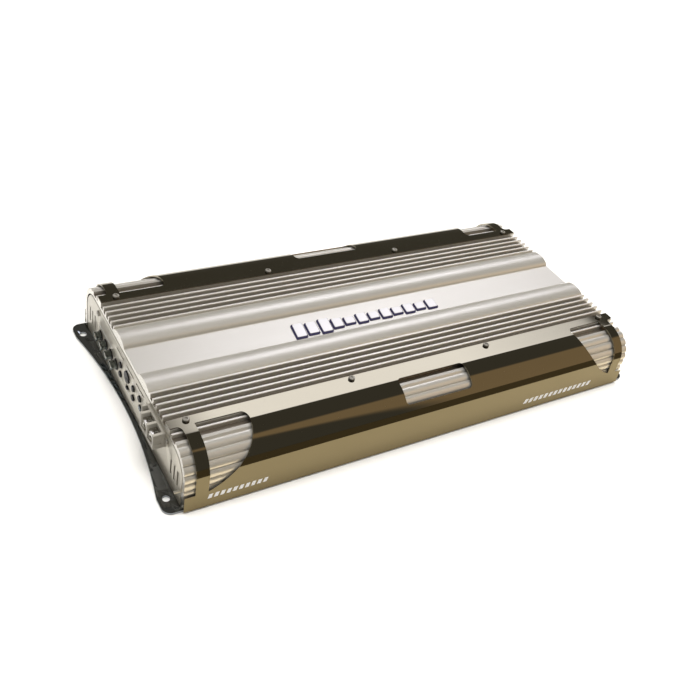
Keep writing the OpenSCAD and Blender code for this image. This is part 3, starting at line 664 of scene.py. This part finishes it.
@dataclass
class TrimCover:
    """A smoked mirror cover: flat band, curved slope, creased flange, with windows. Millimetres."""

    side: Side
    node: str
    half_l: float = 244.0
    band: Point = (79.0, 59.2)
    centre: Point = (96.0, 30.2)
    radius: float = 29.0
    crease: float = 78.0
    foot: Point = (125.8, 2.0)
    sheet: float = 1.3
    arc_steps: int = 60
    length_steps: int = 61
    window_top: float = 20.4
    notch_x: float = 235.0
    strip_x: float = 224.0
    d_left: float = 180.0
    d_circle: tuple[float, float, float] = (239.0, 17.7, 59.6)
    mid_window: tuple[float, float, float, float] = (37.0, 26.0, 50.4, 4.0)
    slope_depth: Point = (90.0, 130.0)

    def line(self) -> list[Vector]:
        """The outer line of the sheet at the left end, from the band's edge to the foot."""
        y0, z0 = self.band
        steps = [(y0 + (self.centre[0] - y0) * i / 4, z0) for i in range(4)]
        steps += arc(self.centre, self.radius, 90.0, 90.0 - self.crease, self.arc_steps)
        crease = steps[-1]
        for i in range(1, 7):
            steps.append(tuple(a + (b - a) * i / 6 for a, b in zip(crease, self.foot)))
        return [Vector((-self.half_l, -y, z)) * MM for y, z in steps]

    def cutter(self, outline: list[Point]) -> Piece:
        """A prism through the slope, from an outline of X and distance down the slope.

        Args:
            outline: points as (X, distance down the slope), in millimetres.

        Returns:
            The closed prism.
        """
        root = math.sqrt(0.5)
        down, out = Vector((0, -root, -root)), Vector((0, -root, root))
        near, far = self.slope_depth
        obj = trace("cutter", [(Vector((x, 0, 0)) + down * u + out * near) * MM for x, u in outline])
        extrude(obj, out * (far - near) * MM)
        face_out(obj)
        return obj

    def outlines(self) -> list[list[Point]]:
        """The middle window, the two round-ended windows and the two end notches."""
        half, top, bottom, r = self.mid_window
        middle = arc((half - r, top + r), r, -90, 0, 6) + arc((half - r, bottom - r), r, 0, 90, 6)
        middle += arc((r - half, bottom - r), r, 90, 180, 6) + arc((r - half, top + r), r, 180, 270, 6)
        cx, cu, cr = self.d_circle
        start = math.degrees(math.atan2(25.4 - cu, -math.sqrt(cr**2 - (25.4 - cu) ** 2)))
        end = math.degrees(math.atan2(math.sqrt(cr**2 - (self.strip_x - cx) ** 2), self.strip_x - cx))
        d_shape = [(self.strip_x, self.window_top)]
        d_shape += arc((self.d_left + 5, self.window_top + 5), 5, 270, 180, 6)
        d_shape += arc((cx, cu), cr, start, end, 40)
        notch = [(260.0, self.window_top), (260.0, 76.0), (self.notch_x, 76.0)]
        notch += arc((self.notch_x + 4, self.window_top + 4), 4, 180, 270, 6)
        mirrored = [[(-x, u) for x, u in reversed(shape)] for shape in (d_shape, notch)]
        return [middle, d_shape, notch, *mirrored]

    def build(self) -> None:
        """Bends the sheet, cuts its windows and turns it to its side of the case."""
        obj = trace(f"{self.node}_sheet", self.line(), closed=False)
        extrude(obj, Vector((2 * self.half_l * MM / self.length_steps, 0, 0)), self.length_steps)
        self.turn_faces_out(obj)
        apply_modifier(obj, "SOLIDIFY", thickness=self.sheet * MM, offset=-1.0, use_even_offset=True)
        for outline in self.outlines():
            boolean(obj, self.cutter(outline), "DIFFERENCE")
        obj.rotation_euler.z = self.side.value
        settle(obj)
        dress(obj, SMOKED, SHEET_EDGE_AND_HIGHLIGHT)
        sign = 1 if self.side is Side.FRONT else -1
        # The cut faces take the paler edge finish, partly a painted highlight.
        paint_faces(obj, 1, lambda centre, normal: self.is_cut(centre, normal, sign))
        smooth(obj, 7.0)
        fit(obj, "smoked_chrome", self.node)

    def turn_faces_out(self, obj: Piece) -> None:
        """Makes the open sheet's faces look away from the case."""
        middle = Vector((0, -self.centre[0], self.centre[1])) * MM
        facing = sum(f.normal.dot(Vector((0, *(f.center - middle).yz))) for f in obj.data.polygons)
        if facing < 0:
            with editing(obj):
                bpy.ops.mesh.flip_normals()

    def is_cut(self, centre: Vector, normal: Vector, sign: int) -> bool:
        """True for the faces through the sheet's thickness, at its ends and windows."""
        away = Vector((0, centre.y + sign * self.centre[0] * MM, centre.z - self.centre[1] * MM))
        if centre.z / MM > self.band[1] - self.sheet - 0.2 and abs(centre.y) / MM < self.centre[0]:
            away = Vector((0, 0, 1))
        if centre.z / MM < 36:
            away = Vector((0, -sign, 0.04))
        return abs(normal.dot(away.normalized())) < 0.6


# ---------------------------------------------------------------- small parts


@dataclass
class ButtonScrews:
    """Button-head socket screws of one size, modelled once and copied. Millimetres."""

    name: str
    node: str
    slot: str
    places: list[tuple[Vector, Vector]]
    head_r: float = 2.9
    head_h: float = 2.4
    socket_r: float = 1.5
    shank_r: float = 1.55
    shank_l: float = 7.3
    rings: tuple[float, ...] = (0.021, 0.056, 0.119)
    rim: float = 0.62

    def master(self) -> Piece:
        """One screw, standing head up with its seat at the origin."""
        deselect()
        top = self.head_h * MM
        bpy.ops.mesh.primitive_cylinder_add(
            vertices=36, radius=self.head_r * MM, depth=top, location=(0, 0, top / 2))
        obj = bpy.context.object
        settle(obj)
        with editing(obj):
            bpy.ops.mesh.select_mode(type="FACE")
            self.select_end(obj, 1)
            for share in self.rings:
                bpy.ops.mesh.inset(thickness=self.head_r * MM * share)
        self.round_dome(obj)
        deselect()
        bpy.ops.mesh.primitive_cylinder_add(
            vertices=6, radius=self.socket_r * MM, depth=top, location=(0, 0, top))
        boolean(obj, bpy.context.object, "DIFFERENCE")
        with editing(obj):
            bpy.ops.mesh.select_mode(type="FACE")
            self.select_end(obj, -1)
            bpy.ops.mesh.inset(thickness=(self.head_r - self.shank_r) * MM)
            bpy.ops.mesh.extrude_region_move(TRANSFORM_OT_translate={"value": (0, 0, -self.shank_l * MM)})
        bevel(obj, 0.12, 2, 40.0)
        smooth(obj, 35.0)
        return obj

    @staticmethod
    def select_end(obj: Piece, way: int) -> None:
        """Selects only the flat face that looks up (1) or down (-1)."""
        bpy.ops.mesh.select_all(action="DESELECT")
        bpy.ops.object.mode_set(mode="OBJECT")
        flats = [f for f in obj.data.polygons if f.normal.z * way > 0.99]
        best = max(flats, key=lambda f: (round(f.center.z * way, 6), f.area))
        best.select = True
        bpy.ops.object.mode_set(mode="EDIT")

    def round_dome(self, obj: Piece) -> None:
        """Lowers the rim of the head so that its top is a shallow dome."""
        for vertex in obj.data.vertices:
            if vertex.co.z > self.head_h * MM * 0.5:
                r = vertex.co.xy.length / (self.head_r * MM)
                dome = math.sqrt(max(0.0, 1 - (r * 0.98) ** 2))
                vertex.co.z = self.head_h * MM * (self.rim + (1 - self.rim) * dome)

    def build(self) -> None:
        """Copies the screw to each place and joins the copies."""
        master = self.master()
        parts = []
        for place, axis in self.places:
            twin = copy_at(master, Vector((0, 0, 0)))
            turn = axis.to_track_quat("Z", "Y").to_matrix().to_4x4()
            twin.matrix_world = Matrix.Translation(place * MM) @ turn
            settle(twin)
            parts.append(twin)
        discard(master)
        obj = join(self.name, parts)
        dress(obj, SCREW_STEEL)
        fit(obj, self.slot, self.node)


# Each screw's seat in millimetres, and the way its head looks.
COVER_SCREWS = [(Vector((x, y, 59.2)), Vector((0, 0, 1))) for x in (-229, -76, 76, 229) for y in (-83, 83)]
PANEL_SCREWS = [(Vector((s * 244, y, 42.2)), Vector((s, 0, 0))) for s in (-1, 1) for y in (-85, 85)]


@dataclass
class Emblem:
    """A plain row of slanted level bars on the flat, white over a drawn-out navy backing. Millimetres."""

    x0: float = -92.0
    width: float = 10.0
    pitch: float = 13.8
    middle_y: float = -4.5
    slant: float = 0.16
    flat_z: float = 54.2
    backing_high: float = 0.5
    bar_high: float = 0.7
    heights: tuple[float, ...] = (18, 15, 18, 12, 9, 12, 9, 12, 9, 12, 9, 12)
    shadow: Point = (-1.6, -1.8)
    grow: float = 0.75

    def corners(self, i: int, grow: float) -> list[Point]:
        """Corners of bar i, from the lower left, grown by a margin."""
        x, h = self.x0 + i * self.pitch, self.heights[i]
        low, high = self.middle_y - h / 2 - grow, self.middle_y + h / 2 + grow
        lean = self.slant * h
        return [(x - grow, low), (x + self.width + grow, low),
                (x + self.width + lean + grow, high), (x + lean - grow, high)]

    def drawn_out(self, i: int) -> list[Point]:
        """Outline of bar i together with its copy moved to the lower left."""
        c = self.corners(i, self.grow)
        a, b, d = ((p[0] + self.shadow[0], p[1] + self.shadow[1]) for p in (c[0], c[1], c[3]))
        return [a, b, c[1], c[2], c[3], d]

    def layer(self, name: str, outlines: list[list[Point]], z0: float, high: float) -> Piece:
        """Models one layer of bars.

        Args:
            name: piece name.
            outlines: outline of each bar.
            z0: height of the layer's underside.
            high: thickness of the layer.

        Returns:
            The joined bars.
        """
        parts = []
        for outline in outlines:
            bar = trace("bar", [Vector((x, y, z0)) * MM for x, y in outline])
            extrude(bar, Vector((0, 0, high * MM)))
            face_out(bar)
            self.round_corners(bar, 1.1)
            parts.append(bar)
        obj = join(name, parts)
        bevel(obj, 0.18, 3, 50.0)
        smooth(obj, 40.0)
        return obj

    @staticmethod
    def round_corners(bar: Piece, radius: float) -> None:
        """Rounds the upright corners of a bar."""
        with editing(bar):
            bpy.ops.mesh.select_mode(type="EDGE")
            bpy.ops.mesh.select_all(action="DESELECT")
            bpy.ops.object.mode_set(mode="OBJECT")
            points = bar.data.vertices
            for edge in bar.data.edges:
                a, b = (points[i].co for i in edge.vertices)
                edge.select = abs(a.z - b.z) > 0.1 * MM
            bpy.ops.object.mode_set(mode="EDIT")
            bpy.ops.mesh.bevel(offset=radius * MM, segments=5, affect="EDGES")

    def build(self) -> None:
        """Models the navy backing and the white bars on it."""
        count = range(len(self.heights))
        backing = self.layer("emblem_backing_bars", [self.drawn_out(i) for i in count],
                             self.flat_z, self.backing_high)
        dress(backing, NAVY_ENAMEL)
        fit(backing, "navy_enamel", "emblem_backing")
        bars = self.layer("emblem_white_bars", [self.corners(i, 0.0) for i in count],
                          self.flat_z + self.backing_high, self.bar_high)
        dress(bars, WHITE_ENAMEL)
        fit(bars, "white_enamel", "emblem_bars")


@dataclass
class SignalSockets:
    """The four plated socket barrels, turned with a groove and a rolled lip. Millimetres."""

    ys: tuple[float, ...] = (78.0, 64.0, 50.0, 36.0)
    z: float = 22.0
    radius: float = 4.15
    wall: float = 0.5
    tip_x: float = -250.0
    seat_x: float = -244.8
    root_x: float = -234.0
    step: float = 0.2
    groove: Point = (-246.2, -247.0)
    groove_deep: float = 0.12

    def build(self) -> None:
        """Spins the barrel's section about its axis and copies it along the row."""
        r, w, tip, low = self.radius, self.wall, self.tip_x, self.radius - self.groove_deep
        start, end = self.groove
        section = [(self.root_x, r - self.step), (self.seat_x, r - self.step), (self.seat_x, r)]
        section += [(start, r), (start - 0.2, low), (end + 0.2, low), (end, r)]
        section += [(tip + 0.7, r), (tip + 0.2, low), (tip, r - 0.3), (tip + 0.15, r - w)]
        section += [(self.root_x, r - w)]
        y0 = self.ys[0]
        obj = trace("barrel", [Vector((x, y0, self.z + h)) * MM for x, h in section], closed=False)
        with editing(obj):
            bpy.ops.mesh.spin(steps=48, angle=math.tau, center=Vector((0, y0, self.z)) * MM, axis=(1, 0, 0))
            bpy.ops.mesh.select_all(action="SELECT")
            bpy.ops.mesh.remove_doubles(threshold=0.01 * MM)
        with editing(obj):
            bpy.ops.mesh.select_mode(type="EDGE")
            bpy.ops.mesh.select_all(action="DESELECT")
            bpy.ops.mesh.select_non_manifold()
            bpy.ops.mesh.bridge_edge_loops()
            bpy.ops.mesh.select_all(action="SELECT")
            bpy.ops.mesh.normals_make_consistent(inside=False)
        parts = [obj] + [copy_at(obj, Vector((0, (y - y0) * MM, 0))) for y in self.ys[1:]]
        row = join("signal_socket_barrels", parts)
        dress(row, DULLED_NICKEL)
        smooth(row, 40.0)
        fit(row, "nickel", "rca_barrels")


@dataclass
class PanelPrint:
    """Plain printed dashes beside the controls and sockets, each as Y, Z and width. Millimetres."""

    x: float = -244.03
    thick: float = 0.03
    high: float = 0.7
    dashes: tuple[tuple[float, float, float], ...] = (
        (24, 36.2, 6), (7.5, 39.2, 8), (-8, 36.2, 6), (-23.4, 38.2, 6), (24, 15.2, 6), (5.5, 15.2, 8),
        (-8, 15.2, 6), (-25.5, 19.2, 5), (64, 31.4, 36), (57, 13.4, 12), (71, 13.4, 12), (43, 13.4, 12),
        (-65, 28.2, 24), (-48.4, 28.2, 4), (15.8, 26, 1), (-1.2, 26, 1),
    )

    def build(self) -> None:
        """Lays each dash as a thin rounded plate of ink."""
        parts = [block(Vector((self.thick * 2, wide, self.high)) * MM, Vector((self.x, y, z)) * MM)
                 for y, z, wide in self.dashes]
        obj = join("panel_print_dashes", parts)
        bevel(obj, 0.02, 1, 50.0)
        dress(obj, INK)
        fit(obj, "white_enamel")


@dataclass
class FlangePrint:
    """Rows of plain slanted dashes printed on the front cover's flange, with no letters. Millimetres.

    Each row is its first X, number of dashes, their pitch and their height.
    """

    rows: tuple[tuple[float, int, float, float], ...] = ((-222.0, 10, 5.4, 4.6), (112.0, 14, 6.6, 5.4))
    crease: Point = (124.37, 36.23)
    foot: Point = (125.8, 2.0)
    middle_z: float = 12.5
    thick: float = 0.04
    slant: float = 0.3
    dash_share: float = 0.62

    def build(self) -> None:
        """Lays each dash on the leaning flange and leans its top end over."""
        lean = math.atan2(self.foot[0] - self.crease[0], self.crease[1] - self.foot[1])
        share = (self.crease[1] - self.middle_z) / (self.crease[1] - self.foot[1])
        y = self.crease[0] + share * (self.foot[0] - self.crease[0])
        parts = []
        for first, count, pitch, high in self.rows:
            for i in range(count):
                dash = block(Vector((pitch * self.dash_share, self.thick, high)) * MM,
                             Vector((first + i * pitch, -y, self.middle_z)) * MM, -lean)
                for vertex in dash.data.vertices:
                    vertex.co.x += (vertex.co.z - self.middle_z * MM) * self.slant
                parts.append(dash)
        obj = join("flange_print_dashes", parts)
        bevel(obj, 0.01, 1, 50.0)
        dress(obj, INK)
        fit(obj, "white_enamel")


@dataclass(frozen=True)
class Softened:
    """A CAD node whose shape is right, copied, merged and given small rounded edges.

    Attributes:
        node: CAD node that it stands for.
        finish: its finish.
        slot: the record's material slot.
        width: edge rounding, in millimetres; 0 leaves the edges.
        body: body that it moves with.
    """

    node: str
    finish: Finish
    slot: str
    width: float = 0.15
    body: str = CASE

    def build(self) -> None:
        """Copies the node, merges its triangles, rounds its edges and dresses it."""
        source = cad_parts[self.node]
        deselect()
        obj = source.copy()
        obj.data = source.data.copy()
        for key in list(obj.keys()):
            del obj[key]
        obj.parent = None
        bpy.context.scene.collection.objects.link(obj)
        obj.name = obj.data.name = f"{self.node}_finished"
        with editing(obj):
            bpy.ops.mesh.remove_doubles(threshold=0.002 * MM)
            bpy.ops.mesh.dissolve_limited(angle_limit=math.radians(0.5))
        if self.width:
            bevel(obj, self.width, 2, 32.0)
        dress(obj, self.finish)
        smooth(obj, 30.0)
        fit(obj, self.slot, self.node, body=self.body)


KNOB_EDGES = {"gain_front": 0.25, "gain_rear": 0.25, "level": 0.3,
              "highpass": 0.25, "lowpass": 0.25, "bass": 0.25}

SHOWING_PARTS = [
    Softened("base_plate", BLACK_CHROME, "black_chrome", 0.25),
    Softened("end_panel_left", SATIN_PLATE, "satin_plate", 0.15),
    Softened("end_panel_right", SATIN_PLATE, "satin_plate", 0.15),
    Softened("base_screws", SCREW_STEEL, "dark_steel", 0.05),
    *(Softened(f"knob_{use}", BLACK_ABS, "black_plastic", width, f"knob_{use}_shaft")
      for use, width in KNOB_EDGES.items()),
    Softened("switch_slider", BLACK_ABS, "black_plastic", 0.15, "slider"),
    Softened("led_bezel", BLACK_ABS, "black_plastic", 0.2),
    Softened("power_led", LENS, "clear_lens", 0.3),
    Softened("rca_housing", BLACK_ABS, "black_plastic", 0.2),
    Softened("rca_insulators", WHITE_PTFE, "white_plastic", 0.1),
    Softened("rca_contacts", GOLD, "gold_plate", 0.05),
    Softened("power_block", GREY_PBT, "grey_plastic", 0.2),
    Softened("power_clamps", NICKEL, "nickel", 0.2),
    Softened("power_screws", SCREW_STEEL, "dark_steel", 0.15),
    Softened("speaker_block", BLACK_ABS, "black_plastic", 0.2),
    Softened("speaker_clamps", NICKEL, "nickel", 0.15),
    Softened("speaker_screws", SCREW_STEEL, "dark_steel", 0.1),
    Softened("fuse_holder", BLACK_ABS, "black_plastic", 0.2),
    Softened("fuse_bodies", GREEN_LENS, "green_plastic", 0.3),
]

CARRIED_NODES: dict[str, Finish] = {
    "pot_bodies": ZINC, "switch_body": ZINC, "control_board": BOARD, "bus_bars": COPPER,
    "fuse_blades": NICKEL, "main_board": BOARD, "standoffs": BRASS, "board_screws": ZINC,
    "transformer_cores": FERRITE, "transformer_windings": COPPER, "choke_cores": FERRITE,
    "choke_windings": COPPER, "capacitors": SLEEVE, "transistors_front": BLACK_ABS,
    "transistors_rear": BLACK_ABS, "insulator_strips": GREY_PBT, "clamp_bars": ZINC,
    "clamp_screws": SCREW_STEEL,
}


# ---------------------------------------------------------------- studio


@dataclass
class Studio:
    """A pale floor with cards, a soft overhead light, a long light behind, and a camera. Metres, degrees."""

    floor_half: float = 3.0
    card_edges: tuple[float, float, float] = (0.127, 0.195, 3.0)
    eye: Vector = field(default_factory=lambda: Vector((-0.4392, -0.5194, 0.5393)))
    forward: Vector = field(default_factory=lambda: Vector((0.4938, 0.6091, -0.6206)))
    roll: float = 13.83
    lens: float = 43.9
    sensor: float = 36.0
    softbox: Vector = field(default_factory=lambda: Vector((0.1, 0.1, 4.0)))
    softbox_size: Point = (4.4, 3.0)
    softbox_power: float = 285.0
    room: tuple[float, ...] = (0.14, 0.13, 0.108, 1.0)
    warm_patch: tuple[float, ...] = (0.62, 0.45, 0.265, 1.0)
    strip: tuple[float, ...] = (3.5, 3.5, 3.85, 1.0)

    def camera(self) -> None:
        """Sets the camera at the viewing place, with its roll."""
        data = bpy.data.cameras.new("studio_camera")
        data.lens, data.sensor_width = self.lens, self.sensor
        data.clip_start, data.clip_end = 0.01, 100.0
        camera = bpy.data.objects.new("studio_camera", data)
        bpy.context.scene.collection.objects.link(camera)
        ahead = self.forward.normalized()
        right = ahead.cross(Vector((0, 0, 1))).normalized()
        above = right.cross(ahead)
        c, s = math.cos(math.radians(self.roll)), math.sin(math.radians(self.roll))
        axes = Matrix((c * right + s * above, c * above - s * right, -ahead)).transposed()
        camera.matrix_world = Matrix.Translation(self.eye) @ axes.to_4x4()
        bpy.context.scene.camera = camera

    def light(self) -> None:
        """Adds the soft overhead light, which polished sheet doesn't mirror."""
        data = bpy.data.lights.new("overhead_softbox", "AREA")
        data.shape, (data.size, data.size_y) = "RECTANGLE", self.softbox_size
        data.energy, data.color = self.softbox_power, linear("#fffdfa")[:3]
        light = bpy.data.objects.new("overhead_softbox", data)
        light.visible_glossy = False
        light.location = self.softbox
        light.rotation_euler = (-self.softbox).to_track_quat("-Z", "Y").to_euler()
        bpy.context.scene.collection.objects.link(light)

    def sky(self) -> None:
        """A dim room for the metals to mirror: a long light strip behind, a warm patch at the front right.

        Each is a patch of directions, told by Y/Z (how far behind) and X/Z or X/-Y (how far across).
        """
        world = bpy.data.worlds.new("studio_room")
        bpy.context.scene.world = world
        world.use_nodes = True
        tree = world.node_tree
        tree.nodes.clear()
        place = add_node(tree, "ShaderNodeTexCoord").outputs["Generated"]
        split = add_node(tree, "ShaderNodeSeparateXYZ", None, {0: place})
        x, y, z = split.outputs
        high = work_out(tree, "MAXIMUM", z, 0.02)
        behind, across = work_out(tree, "DIVIDE", y, high), work_out(tree, "DIVIDE", x, high)
        strip = self.step(tree, behind, 0.70, 0.76)
        fade = spread_over(tree, across, (1.0, 1.5), (1.0, 0.4))
        ends = (self.step(tree, across, 0.36, 0.50), fade, self.step(tree, across, 1.38, 1.34))
        for part in (self.step(tree, behind, 1.14, 1.06), *ends):
            strip = work_out(tree, "MULTIPLY", strip, part)
        front = work_out(tree, "MAXIMUM", work_out(tree, "MULTIPLY", y, -1.0), 0.02)
        ratio = work_out(tree, "DIVIDE", x, front)
        right, low = self.step(tree, ratio, 0.62, 0.74), self.step(tree, behind, -0.35, -0.5)
        wedge = work_out(tree, "MULTIPLY", right, low)
        room = add_node(tree, "ShaderNodeMix", {6: self.room, 7: self.warm_patch}, {0: wedge},
                        data_type="RGBA").outputs[2]
        lit = add_node(tree, "ShaderNodeMix", {7: self.strip}, {0: strip, 6: room},
                       data_type="RGBA").outputs[2]
        dim = add_node(tree, "ShaderNodeBackground", {"Strength": 1.0}, {"Color": lit})
        pale = add_node(tree, "ShaderNodeBackground", {"Color": (1, 1, 1, 1), "Strength": 1.0})
        seen = add_node(tree, "ShaderNodeLightPath").outputs["Is Camera Ray"]
        both = add_node(tree, "ShaderNodeMixShader", None,
                        {0: seen, 1: dim.outputs[0], 2: pale.outputs[0]})
        add_node(tree, "ShaderNodeOutputWorld", None, {"Surface": both.outputs[0]})

    @staticmethod
    def step(tree: Tree, value: Socket, low: float, high: float) -> Socket:
        """A soft step from 0 at low to 1 at high."""
        return spread_over(tree, value, (low, high), curve="SMOOTHSTEP")

    def floor(self) -> None:
        """A pale matt floor just under the base."""
        deselect()
        bpy.ops.mesh.primitive_plane_add(size=2 * self.floor_half, location=(0, 0, -0.0001))
        obj = bpy.context.object
        obj.name = "studio_floor"
        dress(obj, Finish("matt_studio_floor", "#f6f6f5", 0.0, 0.8, 0.05, 40.0, 0.02, 0.005))

    def card(self, name: str, near: float, far: float, colour: str) -> None:
        """A card lying before the case, seen in mirrors only, in place of the pale floor.

        Args:
            name: name of the card and its finish.
            near: distance of its near edge before the case's middle.
            far: distance of its far edge.
            colour: sRGB hex colour.
        """
        deselect()
        bpy.ops.mesh.primitive_plane_add(size=1, location=(0, -(near + far) / 2, 0.0002))
        obj = bpy.context.object
        obj.name = name
        obj.scale = (2 * self.floor_half, far - near, 1)
        settle(obj)
        for ray in ("visible_camera", "visible_diffuse", "visible_shadow", "visible_transmission"):
            setattr(obj, ray, False)
        dress(obj, Finish(name, colour, 0.0, 0.8, 0.05, 40.0, 0.02, 0.02))

    def build(self) -> None:
        """Sets the floor, cards, room, light and camera."""
        self.floor()
        near, middle, far = self.card_edges
        self.card("tan_studio_card", near, middle, "#f2e3c0")
        self.card("brown_studio_card", middle, far, "#584d36")
        self.sky()
        self.light()
        self.camera()
        bpy.context.scene.view_settings.view_transform = "Standard"


def dress_carried() -> None:
    """Gives each CAD node that stays its finish."""
    for name, finish in CARRIED_NODES.items():
        dress(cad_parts[name], finish)
        LOG.info("%s: dressed in %s", name, finish.name)


def main() -> None:
    """Builds the amplifier's pieces in order, then the studio."""
    logging.basicConfig(level=logging.INFO, format="%(name)s: %(message)s")
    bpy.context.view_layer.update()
    Heatsink().build()
    TrimCover(Side.FRONT, "trim_front").build()
    TrimCover(Side.REAR, "trim_rear").build()
    ButtonScrews("cover_screws", "trim_screws", "dark_steel", COVER_SCREWS).build()
    ButtonScrews("end_panel_screws", "panel_screws", "dark_steel", PANEL_SCREWS, head_r=2.7, head_h=1.6,
                 socket_r=1.1, shank_r=1.35, shank_l=11.0).build()
    Emblem().build()
    SignalSockets().build()
    PanelPrint().build()
    FlangePrint().build()
    for part in SHOWING_PARTS:
        part.build()
    dress_carried()
    Studio().build()


if __name__ == "__main__":
    main()
